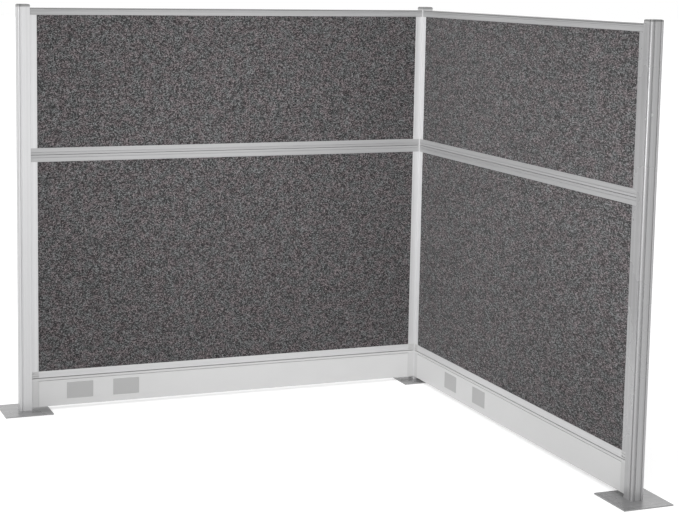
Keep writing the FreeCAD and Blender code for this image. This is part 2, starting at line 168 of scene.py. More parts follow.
world = bpy.data.worlds.new("white_room")
bpy.context.scene.world = world
world.use_nodes = True
tree = world.node_tree
tree.nodes.clear()
rays = tree.nodes.new("ShaderNodeLightPath")
seen = place_node(tree, "ShaderNodeMath", seen_directly(tree, rays),
                  rays.outputs["Is Transmission Ray"], operation="MAXIMUM")
strength = place_node(tree, "ShaderNodeMapRange", seen.outputs[0], To_Min=room_level, To_Max=1.0)
background = place_node(tree, "ShaderNodeBackground", Color=grey(1.0),
                        Strength=strength.outputs["Result"])
place_node(tree, "ShaderNodeOutputWorld", background.outputs[0])

floor_mesh = bpy.data.meshes.new("studio_floor")
floor_corners = ((-1, -1), (1, -1), (1, 1), (-1, 1))
floor_mesh.from_pydata([(x * floor_reach, y * floor_reach, 0) for x, y in floor_corners],
                       [], [(0, 1, 2, 3)])
studio_floor = bpy.data.objects.new("studio_floor", floor_mesh)
bpy.context.scene.collection.objects.link(studio_floor)
floor_paint, tree, shader = new_material("white_floor")
settle(shader, Base_Color=grey(floor_tone), Roughness=1.0, Specular_IOR_Level=0.0,
       Emission_Color=grey(floor_glow),
       Emission_Strength=seen_directly(tree, tree.nodes.new("ShaderNodeLightPath")))
floor_mesh.materials.append(floor_paint)
studio_floor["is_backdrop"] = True


# Fabric pads: thin fibre pads wrapped in a dark speckled panel cloth, pressed into the channels of
# the frames. Their edges are tucked behind the lips of the extrusions, and the free middle swells a
# little out of the opening. On the side wall the cloth is drawn out along the wall.
wall_length, panel_top, tier_seam, frame_bottom = 1.8288, 1.7018, 1.0922, 0.1413
half_post, half_panel = 0.0254, 0.022225
half_wall = wall_length / 2
pad_thickness, pad_back = 0.010, 0.010225
pad_side_inset, pad_end_inset = 0.0355, 0.0126
tuck_margin, tuck_slack = 0.018, 1.01
pad_crown, pad_edge_radius, pad_grid = 0.0013, 0.0035, 0.024
edge_station = 0.35 * pad_edge_radius
swell_frames, swell_pressure = 12, 3.0
cloth_quality, cloth_mass, cloth_stiffness = 4, 0.4, 25.0
pad_turn_angle = math.radians(60)
side_facing = 0.6
weld_distance = 1e-6
fleck_share, small_fleck_share = 0.74, 0.26
waver_reach, warmth_stray = 0.003, 0.08
thread_depth, fibre_depth, fleck_depth = 0.35, 0.30, 0.4
yarn_stretch = (0.85, 1.0, 1.0)
thread_shade_low, thread_shade_high = 0.72, 1.28
cloth_shades = ((0.0, 0.006), (0.25, 0.020), (0.50, 0.063), (0.75, 0.146), (1.0, 0.272))
cloth_green = 0.985
warm_cast, cool_cast = (1.085, 0.965, 0.985), (0.970, 0.997, 1.000)
roll_seed, roll_start, roll_spread = 11, 2.0, 3
CLOTH_DRAW = {"back": 1.0, "side": 0.62}
TIERS = (("lower", frame_bottom, tier_seam), ("upper", tier_seam, panel_top))
WALL_AXES = {
    "back": (Vector((-half_wall, half_wall, 0)), Vector((1, 0, 0)), Vector((0, 1, 0))),
    "side": (Vector((half_wall, half_wall, 0)), Vector((0, -1, 0)), Vector((1, 0, 0))),
}
UP = Vector((0, 0, 1))
FRAME_BODY = "wall_frame"


def on_wall(wall, along, out, height):
    """A point of a wall: so far along from its left post, so far out of the L, so high."""
    origin, run, outward = WALL_AXES[wall]
    return origin + run * along + outward * out + UP * height


def set_in_place(mesh, across, front, upward, place):
    """Turns a mesh from its own axes to the wall's, flipped across to keep it right-handed."""
    turned = Matrix((across, front, upward)).transposed()
    if turned.determinant() < 0:
        turned = Matrix((-across, front, upward)).transposed()
    mesh.transform(Matrix.Translation(place) @ turned.to_4x4())


def finish_piece(name, mesh, material, body, stands_for, sharp_angle=math.radians(35)):
    """Welds a mesh, turns its faces outwards, smooths its curves and hangs it on its body."""
    work = bmesh.new()
    work.from_mesh(mesh)
    bmesh.ops.remove_doubles(work, verts=work.verts, dist=weld_distance)
    bmesh.ops.recalc_face_normals(work, faces=work.faces)
    for face in work.faces:
        face.smooth = True
        face.material_index = 0
    for edge in work.edges:
        edge.smooth = len(edge.link_faces) == 2 and edge.calc_face_angle(0.0) < sharp_angle
    work.to_mesh(mesh)
    work.free()
    mesh.materials.clear()
    mesh.materials.append(material)
    piece = bpy.data.objects.new(name, mesh)
    bpy.context.scene.collection.objects.link(piece)
    weighted = piece.modifiers.new("flat faces stay flat", "WEIGHTED_NORMAL")
    weighted.keep_sharp = True
    weighted.weight = 100
    graph = bpy.context.evaluated_depsgraph_get()
    piece.data = bpy.data.meshes.new_from_object(piece.evaluated_get(graph))
    piece.modifiers.clear()
    bpy.data.meshes.remove(mesh)
    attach(piece, body)
    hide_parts(*stands_for)
    return piece


def new_pattern(name, inputs, outputs):
    """A group of shader nodes with named sockets. An input without a value is a vector."""
    group = bpy.data.node_groups.new(name, "ShaderNodeTree")
    for socket_name, value in inputs.items():
        kind = "NodeSocketVector" if value is None else "NodeSocketFloat"
        socket = group.interface.new_socket(socket_name, in_out="INPUT", socket_type=kind)
        if value is not None:
            socket.default_value = value
    for socket_name in outputs:
        group.interface.new_socket(socket_name, in_out="OUTPUT", socket_type="NodeSocketFloat")
    return group, group.nodes.new("NodeGroupInput"), group.nodes.new("NodeGroupOutput")


def build_speckled_weave():
    """Flecks of two sizes, patches of warmer and cooler yarn, and the crossing threads."""
    group, given, result = new_pattern(
        "speckled weave",
        {"Vector": None, "Fleck Size": 310.0, "Small Fleck Size": 680.0, "Yarn Size": 1100.0,
         "Thread Pitch": 0.0012},
        ("Tone", "Warmth", "Threads", "Height"))
    laid = given.outputs["Vector"]
    waver = place_node(group, "ShaderNodeTexNoise", laid, noise_dimensions="2D", Scale=420.0,
                       Detail=2.0)
    centred = place_node(group, "ShaderNodeVectorMath", waver.outputs["Color"], (0.5, 0.5, 0.5),
                         operation="SUBTRACT")
    small = place_node(group, "ShaderNodeVectorMath", centred.outputs[0], operation="SCALE",
                       Scale=waver_reach)
    wavered = place_node(group, "ShaderNodeVectorMath", laid, small.outputs[0], operation="ADD")
    flecks, shares = [], []
    for size, share in (("Fleck Size", fleck_share), ("Small Fleck Size", small_fleck_share)):
        cells = place_node(group, "ShaderNodeTexVoronoi", wavered.outputs[0],
                           voronoi_dimensions="2D", feature="F1", distance="CHEBYCHEV",
                           Scale=given.outputs[size])
        parts = place_node(group, "ShaderNodeSeparateColor", cells.outputs["Color"])
        weighed = place_node(group, "ShaderNodeMath", parts.outputs["Red"], share,
                             operation="MULTIPLY")
        flecks.append(parts)
        shares.append(weighed.outputs[0])
    tone = place_node(group, "ShaderNodeMath", *shares, operation="ADD")
    patches = place_node(group, "ShaderNodeTexNoise", laid, noise_dimensions="2D", Scale=26.0,
                         Detail=2.0, Roughness=0.6)
    steep = place_node(group, "ShaderNodeMapRange", patches.outputs["Fac"], clamp=False,
                       From_Min=0.36, From_Max=0.64, To_Min=-0.1, To_Max=1.0)
    stray = place_node(group, "ShaderNodeMath", flecks[0].outputs["Green"], warmth_stray,
                       steep.outputs["Result"], operation="MULTIPLY_ADD")
    yarn = place_node(group, "ShaderNodeTexNoise", laid, noise_dimensions="2D",
                      Scale=given.outputs["Yarn Size"], Detail=2.0, Roughness=0.7)
    bands = place_node(group, "ShaderNodeMath", math.pi / 10, given.outputs["Thread Pitch"],
                       operation="DIVIDE")
    threads = [
        place_node(group, "ShaderNodeTexWave", laid, bands_direction=direction,
                   Scale=bands.outputs[0], Distortion=0.6, Detail=1.0,
                   Detail_Scale=0.35).outputs["Fac"]
        for direction in "XY"
    ]
    crossing = place_node(group, "ShaderNodeMath", *threads, operation="ADD")
    fibres = place_node(group, "ShaderNodeMath", yarn.outputs["Fac"], fibre_depth,
                        operation="MULTIPLY")
    pillows = place_node(group, "ShaderNodeMath", crossing.outputs[0], thread_depth,
                         fibres.outputs[0], operation="MULTIPLY_ADD")
    raised = place_node(group, "ShaderNodeMath", tone.outputs[0], fleck_depth, pillows.outputs[0],
                        operation="MULTIPLY_ADD")
    settle(result, Tone=tone.outputs[0], Warmth=stray.outputs[0], Threads=pillows.outputs[0],
           Height=raised.outputs[0])
    return group


speckled_weave = build_speckled_weave()


def build_panel_cloth():
    """The dyed cloth. Its pattern lies on the cloth's own UV map, which is in metres."""
    material, tree, shader = new_material("speckled_panel_cloth")
    laid = place_node(tree, "ShaderNodeUVMap", uv_map="cloth_metres")
    stretch = place_node(tree, "ShaderNodeMapping", laid.outputs["UV"], Scale=yarn_stretch)
    weave = place_node(tree, "ShaderNodeGroup", node_tree=speckled_weave,
                       Vector=stretch.outputs["Vector"])
    shades = place_node(tree, "ShaderNodeValToRGB", weave.outputs["Tone"])
    ramp = shades.color_ramp
    while len(ramp.elements) < len(cloth_shades):
        ramp.elements.new(0.5)
    for element, (position, shade) in zip(ramp.elements, cloth_shades):
        element.position = position
        element.color = (shade, shade * cloth_green, shade, 1.0)
    cast = place_node(tree, "ShaderNodeMix", data_type="RGBA", Factor=weave.outputs["Warmth"],
                      A=(*cool_cast, 1.0), B=(*warm_cast, 1.0))
    dyed = place_node(tree, "ShaderNodeMix", data_type="RGBA", blend_type="MULTIPLY", Factor=1.0,
                      A=shades.outputs["Color"], B=cast.outputs["Result"])
    # The threads darken the dye in the hollows between them, painted shade of the weave; the yarn's
    # fibres in the same mix vary its tone for real.
    shaded = place_node(tree, "ShaderNodeMapRange", weave.outputs["Threads"],
                        To_Min=thread_shade_low, To_Max=thread_shade_high)
    thread_shaded_dye = place_node(tree, "ShaderNodeVectorMath", dyed.outputs["Result"], operation="SCALE",
                      Scale=shaded.outputs["Result"])
    bump = place_node(tree, "ShaderNodeBump", Strength=0.45, Distance=0.0005,
                      Height=weave.outputs["Height"])
    settle(shader, Base_Color=thread_shaded_dye.outputs[0], Normal=bump.outputs["Normal"], Roughness=0.92,
           Specular_IOR_Level=0.25, Sheen_Weight=0.12, Sheen_Roughness=0.5)
    return material


panel_cloth = build_panel_cloth()


def stations(length):
    """Where the pad's grid lines run: closer together over the rounded edges."""
    edge = [0.0, edge_station, pad_edge_radius, tuck_margin]
    count = max(2, round((length - 2 * tuck_margin) / pad_grid))
    middle = [tuck_margin + (length - 2 * tuck_margin) * step / count for step in range(1, count)]
    return edge + middle + [length - place for place in reversed(edge)]


def edge_drop(place, length):
    """How far the rounded edge lies below the pad's face."""
    near = min(place, length - place)
    if near >= pad_edge_radius:
        return 0.0
    return pad_edge_radius - math.sqrt(pad_edge_radius ** 2 - (pad_edge_radius - near) ** 2)


def flat_pad(width, height):
    """A pad before it is filled: its face towards +Y, its back on the core board at y = 0."""
    mesh = bpy.data.meshes.new("flat_pad")
    columns, rows = stations(width), stations(height)
    points, faces = [], []
    for z in rows:
        for x in columns:
            drop = max(edge_drop(x, width), edge_drop(z, height))
            points.append((x - width / 2, pad_thickness - drop, z - height / 2))
    across, up = len(columns), len(rows)
    for row in range(up - 1):
        for column in range(across - 1):
            corner = row * across + column
            faces.append((corner, corner + across, corner + across + 1, corner + 1))
    rim = list(range(across))
    rim += [row * across + across - 1 for row in range(1, up)]
    rim += [(up - 1) * across + column for column in range(across - 2, -1, -1)]
    rim += [row * across for row in range(up - 2, 0, -1)]
    behind = []
    for index in rim:
        behind.append(len(points))
        points.append((points[index][0], 0.0, points[index][2]))
    for step in range(len(rim)):
        after = (step + 1) % len(rim)
        faces.append((rim[step], rim[after], behind[after], behind[step]))
    faces.append(tuple(behind))
    mesh.from_pydata(points, [], faces)
    return mesh


def filled_pad(width, height):
    """Lets the tucked cloth swell under a light pressure, then caps it at the pad's crown."""
    mesh = flat_pad(width, height)
    pad = bpy.data.objects.new("filling_pad", mesh)
    bpy.context.scene.collection.objects.link(pad)
    start = [vertex.co.copy() for vertex in mesh.vertices]
    free = [
        min(width / 2 - abs(co.x), height / 2 - abs(co.z)) > tuck_margin * tuck_slack
        and co.y > pad_thickness / 2
        for co in start
    ]
    tucked = pad.vertex_groups.new(name="tucked edge")
    tucked.add([index for index, loose in enumerate(free) if not loose], 1.0, "REPLACE")
    cloth = pad.modifiers.new("swelling", "CLOTH")
    cloth.settings.vertex_group_mass = "tucked edge"
    cloth.settings.quality = cloth_quality
    cloth.settings.mass = cloth_mass
    cloth.settings.tension_stiffness = cloth_stiffness
    cloth.settings.compression_stiffness = cloth_stiffness
    cloth.settings.use_pressure = True
    cloth.settings.uniform_pressure_force = swell_pressure
    cloth.settings.effector_weights.gravity = 0.0
    cloth.point_cache.frame_end = swell_frames
    for moment in range(1, swell_frames + 1):
        bpy.context.scene.frame_set(moment)
    graph = bpy.context.evaluated_depsgraph_get()
    swollen = [vertex.co.copy() for vertex in pad.evaluated_get(graph).data.vertices]
    bpy.data.objects.remove(pad)
    bpy.context.scene.frame_set(1)
    rise = [after.y - before.y for before, after in zip(start, swollen)]
    highest = max(rise)
    if highest > 0.0:
        for vertex, up_by in zip(mesh.vertices, rise):
            vertex.co.y += max(0.0, up_by) * pad_crown / highest
    return mesh


def lay_cloth(mesh, shift, draw):
    """The cloth's UV map in metres, each pad's from its own place of the roll. A draw under one
    makes the pattern longer across."""
    layer = mesh.uv_layers.new(name="cloth_metres")
    for face in mesh.polygons:
        for corner in face.loop_indices:
            co = mesh.vertices[mesh.loops[corner].vertex_index].co
            turned = pad_thickness - co.y
            across, up_by = co.x, co.z
            if abs(face.normal.x) > side_facing:
                across += math.copysign(turned, face.normal.x)
            if abs(face.normal.z) > side_facing:
                up_by += math.copysign(turned, face.normal.z)
            layer.data[corner].uv = (across * draw + shift[0], up_by + shift[1])


roll = random.Random(roll_seed)
pad_width = wall_length - 2 * pad_side_inset
for tier, low, high in TIERS:
    pad_height = high - low - 2 * pad_end_inset
    make_pad = filled_pad
    pattern_mesh = make_pad(pad_width, pad_height)
    for wall in ("back", "side"):
        origin, run, outward = WALL_AXES[wall]
        for side, sign in (("inner", -1), ("outer", 1)):
            mesh = pattern_mesh.copy()
            shift = [roll_start + roll.random() * roll_spread for _ in range(2)]
            lay_cloth(mesh, shift, CLOTH_DRAW[wall])
            place = on_wall(wall, half_wall, sign * pad_back, (low + high) / 2)
            set_in_place(mesh, run, outward * sign, UP, place)
            name = "%s_%s_%s_" % (wall, tier, side)
            pad = finish_piece(name + "tackable_pad", mesh, panel_cloth, FRAME_BODY,
                               [name + "fabric_pad"], pad_turn_angle)
    bpy.data.meshes.remove(pattern_mesh)


# Aluminium extrusions, the finish: satin anodised silver. The die leaves faint streaks along the
# length and handling leaves softer patches, so the sheen changes a little from place to place.
satin_roughness, rail_metallic = 0.32, 0.15
smoother_by, rougher_by = 0.03, 0.10
metal_blue = 1.01
streak_long, streak_fine = 2.0, 900.0
ALONG = {
    "back": (streak_long, streak_fine, streak_fine),
    "side": (streak_fine, streak_long, streak_fine),
    "upright": (streak_fine, streak_fine, streak_long),
}
# The seam and top rails are a darker copy of the uprights' satin aluminium, painted shade; the base
# rails keep about the uprights' tone.
RAIL_TONES_WITH_PAINTED_SHADE = {
    "base": ("base_rail", 0.55, 0.65),
    "seam": ("rail", 0.34, 0.46),
    "top": ("top_rail", 0.34, 0.46),
}


def build_drawn_streaks():
    """Streaks along an extrusion, for a vector that is already stretched along its length."""
    group, given, result = new_pattern("drawn streaks", {"Streak Vector": None, "Vector": None},
                                       ("Tone", "Handling", "Height"))
    along = given.outputs["Streak Vector"]
    fine = place_node(group, "ShaderNodeTexNoise", along, Scale=1.0, Detail=4.0, Roughness=0.6)
    broad = place_node(group, "ShaderNodeTexNoise", along, Scale=0.16, Detail=2.0, Roughness=0.5)
    mixed = place_node(group, "ShaderNodeMix", data_type="FLOAT", Factor=0.45,
                       A=fine.outputs["Fac"], B=broad.outputs["Fac"])
    spread = place_node(group, "ShaderNodeMapRange", mixed.outputs["Result"],
                        From_Min=0.3, From_Max=0.7)
    touched = place_node(group, "ShaderNodeTexNoise", given.outputs["Vector"], Scale=7.0,
                         Detail=3.0, Roughness=0.55)
    worn = place_node(group, "ShaderNodeMapRange", touched.outputs["Fac"],
                      From_Min=0.42, From_Max=0.72)
    settle(result, Tone=spread.outputs["Result"], Handling=worn.outputs["Result"],
           Height=fine.outputs["Fac"])
    return group


drawn_streaks = build_drawn_streaks()


def metal_finish(name, stretch, dark, light, roughness, metallic, relief=0.25):
    """A satin metal whose streaks run along the axis with the smallest stretch."""
    material, tree, shader = new_material(name)
    around = tree.nodes.new("ShaderNodeTexCoord").outputs["Object"]
    mapping = place_node(tree, "ShaderNodeMapping", around, Scale=stretch)
    streaks = place_node(tree, "ShaderNodeGroup", node_tree=drawn_streaks,
                         Streak_Vector=mapping.outputs["Vector"], Vector=around)
    tone = place_node(tree, "ShaderNodeMix", data_type="RGBA", Factor=streaks.outputs["Tone"],
                      A=(dark, dark, dark * metal_blue, 1.0),
                      B=(light, light, light * metal_blue, 1.0))
    rough = place_node(tree, "ShaderNodeMapRange", streaks.outputs["Handling"],
                       To_Min=roughness - smoother_by, To_Max=roughness + rougher_by)
    bump = place_node(tree, "ShaderNodeBump", Strength=relief, Distance=0.0004,
                      Height=streaks.outputs["Height"])
    settle(shader, Base_Color=tone.outputs["Result"], Roughness=rough.outputs["Result"],
           Normal=bump.outputs["Normal"], Metallic=metallic, Specular_IOR_Level=0.3)
    return material


upright_metal = metal_finish("satin_aluminium_upright", ALONG["upright"], dark=0.57, light=0.68,
                             roughness=satin_roughness, metallic=0.28)
# Painted shade: the last post and the stiles beside it take a darker copy of the same satin
# aluminium as the other uprights.
painted_shade_end_metal = metal_finish("satin_aluminium_end_upright", ALONG["upright"], dark=0.35,
                                 light=0.50, roughness=0.28, metallic=0.34, relief=0.12)
# Rails in lit and shaded copies of one aluminium: the seam and top rails darker as painted shade.
RAIL_METALS = {
    (kind, wall): metal_finish("satin_aluminium_%s_%s" % (wall, ending), ALONG[wall], dark, light,
                               satin_roughness, rail_metallic)
    for kind, (ending, dark, light) in RAIL_TONES_WITH_PAINTED_SHADE.items() for wall in WALL_AXES
}


# Extruder: every rail, stile and post is a length of one die's outline, so one tree pushes them all
# out. The outline is filled, holes and all, and pushed to the length of the cut.
weld_reach = 0.000002


def build_extruder():
    """Fills the outline of a die and pushes it out to a length."""
    group = bpy.data.node_groups.new("aluminium extruder", "GeometryNodeTree")
    for name, kind in (("Geometry", "Geometry"), ("Die", "Object"), ("Length", "Float"),
                       ("Metal", "Material")):
        group.interface.new_socket(name, in_out="INPUT", socket_type="NodeSocket" + kind)
    group.interface.new_socket("Geometry", in_out="OUTPUT", socket_type="NodeSocketGeometry")
    given = group.nodes.new("NodeGroupInput")
    result = group.nodes.new("NodeGroupOutput")
    outline = place_node(group, "GeometryNodeObjectInfo", Object=given.outputs["Die"])
    face = place_node(group, "GeometryNodeFillCurve", mode="TRIANGLES",
                      Curve=outline.outputs["Geometry"])
    pushed = place_node(group, "GeometryNodeExtrudeMesh", mode="FACES", Individual=False,
                        Mesh=face.outputs["Mesh"], Offset=(0.0, 0.0, 1.0),
                        Offset_Scale=given.outputs["Length"])
    turned = place_node(group, "GeometryNodeFlipFaces", Mesh=face.outputs["Mesh"])
    joined = group.nodes.new("GeometryNodeJoinGeometry")
    settle(joined, Geometry=pushed.outputs["Mesh"])
    settle(joined, Geometry=turned.outputs["Mesh"])
    welded = place_node(group, "GeometryNodeMergeByDistance", Distance=weld_reach,
                        Geometry=joined.outputs["Geometry"])
    real = place_node(group, "GeometryNodeRealizeInstances", Geometry=welded.outputs["Geometry"])
    dressed = place_node(group, "GeometryNodeSetMaterial", Geometry=real.outputs["Geometry"],
                         Material=given.outputs["Metal"])
    settle(result, Geometry=dressed.outputs["Geometry"])
    return group


extruder = build_extruder()


def run_tree(group, name, inputs):
    """Runs a tree once on an empty mesh and gives back the plain result."""
    holder = bpy.data.objects.new(name, bpy.data.meshes.new(name))
    bpy.context.scene.collection.objects.link(holder)
    making = holder.modifiers.new("making", "NODES")
    making.node_group = group
    for socket in group.interface.items_tree:
        if socket.in_out == "INPUT" and socket.name in inputs:
            making[socket.identifier] = inputs[socket.name]
    graph = bpy.context.evaluated_depsgraph_get()
    mesh = bpy.data.meshes.new_from_object(holder.evaluated_get(graph))
    bpy.data.objects.remove(holder)
    return mesh


def arc(centre_x, centre_y, radius, first, last, steps):
    """Points along an arc, its ends among them. Angles are in degrees."""
    angles = [math.radians(first + (last - first) * step / steps) for step in range(steps + 1)]
    return [(centre_x + radius * math.cos(a), centre_y + radius * math.sin(a)) for a in angles]


def rounded(corners, steps=4):
    """An outline through corners of (x, y, radius), each rounded by its own radius."""
    points = []
    for index, (x, y, radius) in enumerate(corners):
        here = Vector((x, y))
        before = (Vector(corners[index - 1][:2]) - here).normalized()
        after = (Vector(corners[(index + 1) % len(corners)][:2]) - here).normalized()
        opening = before.angle(after)
        if radius == 0.0:
            points.append((x, y))
            continue
        reach = radius / math.tan(opening / 2)
        first, last = here + before * reach, here + after * reach
        centre = here + (before + after).normalized() * (radius / math.sin(opening / 2))
        for step in range(steps + 1):
            spoke = (first - centre).slerp(last - centre, step / steps)
            points.append(tuple(centre + spoke.normalized() * radius))
    return points


def cut_die(name, outlines):
    """A die's outline and its holes, as closed flat lines."""
    line = bpy.data.curves.new(name, "CURVE")
    line.dimensions = "2D"
    line.fill_mode = "NONE"
    for points in outlines:
        spline = line.splines.new("POLY")
        spline.points.add(len(points) - 1)
        for point, (x, y) in zip(spline.points, points):
            point.co = (x, y, 0.0, 1.0)
        spline.use_cyclic_u = True
    die = bpy.data.objects.new(name, line)
    bpy.context.scene.collection.objects.link(die)
    return die


# Rails: four aluminium lengths in each wall, a closed box towards the seam or the edge and an open
# channel for the pads. All but the base rails have a fine accent groove, and the top rails a
# snap-in strip, darkened above its joint as painted shade along the top edge. They are cut square
# and held by keys and end blocks.
rail_face, extrusion_wall = 0.028575, 0.0018
outer_radius, lip_radius, inner_radius, groove_radius = 0.0012, 0.0011, 0.0003, 0.0002
accent_groove, strip_joint = (0.0099, 0.0014, 0.0026), (0.0042, 0.0012, 0.0045)
web_low, web_high, strip_web = 0.0090, 0.0124, 0.0060
# The strip's dark tone is painted shade along the top edge of the top rails.
strip_painted_shade, strip_bottom = 0.25, panel_top - 0.0048
seam_gap = 0.0008
bracket_width = 0.028575
panel_start, panel_end = half_post, wall_length - half_post
RAILS = {
    "lower_bottom_rail": ("base", panel_start + bracket_width, frame_bottom, 1),
    "lower_top_rail": ("seam", panel_start, tier_seam - seam_gap, -1),
    "upper_bottom_rail": ("seam", panel_start, tier_seam + seam_gap, 1),
    "upper_top_rail": ("top", panel_start, panel_top, -1),
}


def channel_corners(face, box_depth, grooves):
    """The outline of a channel extrusion, its box at y = 0, from the bottom left round."""
    outside, inside = half_panel, half_panel - extrusion_wall
    right_side = []
    for low, width, depth in grooves:
        right_side += [(outside, low, groove_radius), (outside - depth, low, groove_radius),
                       (outside - depth, low + width, groove_radius),
                       (outside, low + width, groove_radius)]
    left_side = [(-x, y, r) for x, y, r in reversed(right_side)]
    return (
        [(-outside, 0.0, outer_radius), (outside, 0.0, outer_radius)] + right_side
        + [(outside, face, lip_radius), (inside, face, inner_radius),
           (inside, box_depth, inner_radius), (-inside, box_depth, inner_radius),
           (-inside, face, inner_radius), (-outside, face, lip_radius)]
        + left_side
    )


def channel_box(low, high):
    """The hollow of the closed box."""
    inside = half_panel - extrusion_wall
    corners = ((-inside, low), (inside, low), (inside, high), (-inside, high))
    return [(x, y, inner_radius) for x, y in corners]


RAIL_DIES = {
    kind: cut_die(kind + "_rail_die", [rounded(channel_corners(rail_face, web_high, grooves)),
                                       rounded(channel_box(low, web_low))])
    for kind, low, grooves in (("base", extrusion_wall, []),
                               ("seam", extrusion_wall, [accent_groove]),
                               ("top", strip_web, [strip_joint, accent_groove]))
}


def paint_strip_shade(material):
    """Paints shade on the strip: everything of a top rail above the joint is darkened."""
    tree = material.node_tree
    shader = tree.nodes["Principled BSDF"]
    bare = shader.inputs["Base Color"].links[0].from_socket
    around = tree.nodes.new("ShaderNodeTexCoord").outputs["Object"]
    heights = place_node(tree, "ShaderNodeSeparateXYZ", around)
    above = place_node(tree, "ShaderNodeMath", heights.outputs["Z"], strip_bottom,
                       operation="GREATER_THAN")
    # Above the joint the bare metal gives way to a dark grey, painted shade.
    enamelled = place_node(tree, "ShaderNodeMix", data_type="RGBA", Factor=above.outputs[0], A=bare,
                           B=grey(strip_painted_shade))
    settle(shader, Base_Color=enamelled.outputs["Result"])


for wall, (origin, run, outward) in WALL_AXES.items():
    paint_strip_shade(RAIL_METALS["top", wall])
    for rail, (kind, start, level, way) in RAILS.items():
        name = wall + "_" + rail
        metal = RAIL_METALS[kind, wall]
        mesh = run_tree(extruder, name,
                        {"Die": RAIL_DIES[kind], "Length": wall_length - 2 * start, "Metal": metal})
        set_in_place(mesh, outward, UP * way, run, on_wall(wall, start, 0.0, level))
        finish_piece(name + "_length", mesh, metal, FRAME_BODY, [name])
for die in RAIL_DIES.values():
    bpy.data.objects.remove(die)


# Stiles: the uprights of each frame, cut between its rails, with the closed box against the post.
# They have no accent groove, and their channel holds the ends of the pads.
stile_face, stile_box = 0.028575, 0.0095
joint_gap = 0.00015
stile_die = cut_die(
    "stile_die", [rounded(channel_corners(stile_face, stile_box, [])),
                  rounded(channel_box(extrusion_wall, stile_box - extrusion_wall))])
for wall, (origin, run, outward) in WALL_AXES.items():
    for tier, low, high in TIERS:
        low, high = low + rail_face + joint_gap, high - rail_face - joint_gap
        for end, start, way in (("left", panel_start, 1), ("right", panel_end, -1)):
            name = "%s_%s_%s_stile" % (wall, tier, end)
            # The stiles beside the last post take its darker copy of the aluminium, painted shade.
            metal = painted_shade_end_metal if (wall, end) == ("side", "right") else upright_metal
            mesh = run_tree(extruder, name,
                            {"Die": stile_die, "Length": high - low, "Metal": metal})
            set_in_place(mesh, outward, run * way, UP, on_wall(wall, start, 0.0, low))
            finish_piece(name + "_length", mesh, metal, FRAME_BODY, [name])
bpy.data.objects.remove(stile_die)


# Posts: square tubes of extruded aluminium, with a screw port in each corner. A corner that stands
# free is a round bead between two grooves, and one beside a panel is a plain rounded edge.
bead_radius, land_half, groove_floor, tube_inner = 0.0052, 0.0105, 0.0212, 0.0206
port_radius, plain_radius, land_edge, groove_edge = 0.0021, 0.0006, 0.0007, 0.0004
bead_steps, hollow_steps, port_steps = 22, 8, 15
port_last = 360 - 360 / (port_steps + 1)
plate_thickness, post_top = 0.0048, 1.7048
POSTS = {
    "left": (on_wall("back", 0.0, 0.0, 0.0), {0, 3}),
    "corner": (on_wall("side", 0.0, 0.0, 0.0), {1, 2, 3}),
    "right": (on_wall("side", wall_length, 0.0, 0.0), {0, 1}),
}


def post_skin(plain):
    """The outer skin of the post, corner by corner from (+X, +Y) on, some of them plain."""
    centre = half_post - bead_radius
    touch = math.degrees(math.acos((groove_floor - centre) / bead_radius))
    corners = []
    for quarter in range(4):
        turned = Matrix.Rotation(math.radians(90 * quarter), 2)
        side = []
        if (quarter - 1) % 4 not in plain:
            side += [(groove_floor, -land_half, groove_edge), (half_post, -land_half, land_edge)]
        if quarter in plain:
            side.append((half_post, half_post, plain_radius))
        else:
            side += [(half_post, land_half, land_edge), (groove_floor, land_half, groove_edge)]
            bead = arc(centre, centre, bead_radius, -touch, 90 + touch, bead_steps)
            side += [(x, y, 0.0) for x, y in bead]
        corners += [(*(turned @ Vector((x, y))), radius) for x, y, radius in side]
    return rounded(corners, 3)


def post_outlines(plain):
    """The outline of a post's die: outer skin, inner skin and the four screw ports."""
    centre = half_post - bead_radius
    inner_touch = math.degrees(math.acos((tube_inner - centre) / bead_radius))
    inside, ports = [], []
    for quarter in range(4):
        turned = Matrix.Rotation(math.radians(90 * quarter), 2)
        hollow = arc(centre, centre, bead_radius, -inner_touch, inner_touch - 270, hollow_steps)
        inside += [tuple(turned @ Vector(point)) for point in hollow]
        port = arc(centre, centre, port_radius, 0, port_last, port_steps)
        ports.append([tuple(turned @ Vector(point)) for point in port])
    return [post_skin(plain), inside] + ports


for post, (foot, plain) in POSTS.items():
    name = post + "_post"
    # The last post takes the darker copy of the aluminium, painted shade.
    metal = painted_shade_end_metal if post == "right" else upright_metal
    post_die = cut_die(name + "_die", post_outlines(plain))
    mesh = run_tree(extruder, name,
                    {"Die": post_die, "Length": post_top - plate_thickness, "Metal": metal})
    mesh.transform(Matrix.Translation(foot + UP * plate_thickness))
    finish_piece(name + "_length", mesh, metal, FRAME_BODY, [name])
    bpy.data.objects.remove(post_die)


# Caps: die-cast lids that follow the contour of their post. Their rounded crown is painted darker
# than the skirt below it, painted shade along the cap's top edge, and four spring tongues hold them
# inside the tube.
cap_height, cap_round, cap_dome, cap_rim = 0.0127, 0.0058, 0.0004, 0.0003
cap_steps, painted_shade_edge = 6, 0.0008
dome_rings = ((0.45, 0.25), (0.80, 0.0))
tongue_reach, tongue_thickness, tongue_half, tongue_depth = 0.0203, 0.0018, 0.010, 0.020
tongue_edge = 0.0004
# The crown's dark tone is painted shade along the top edge of the cap; the skirt is the cap's own
# enamel.
skirt_shade, painted_crown_shade = 0.42, 0.19


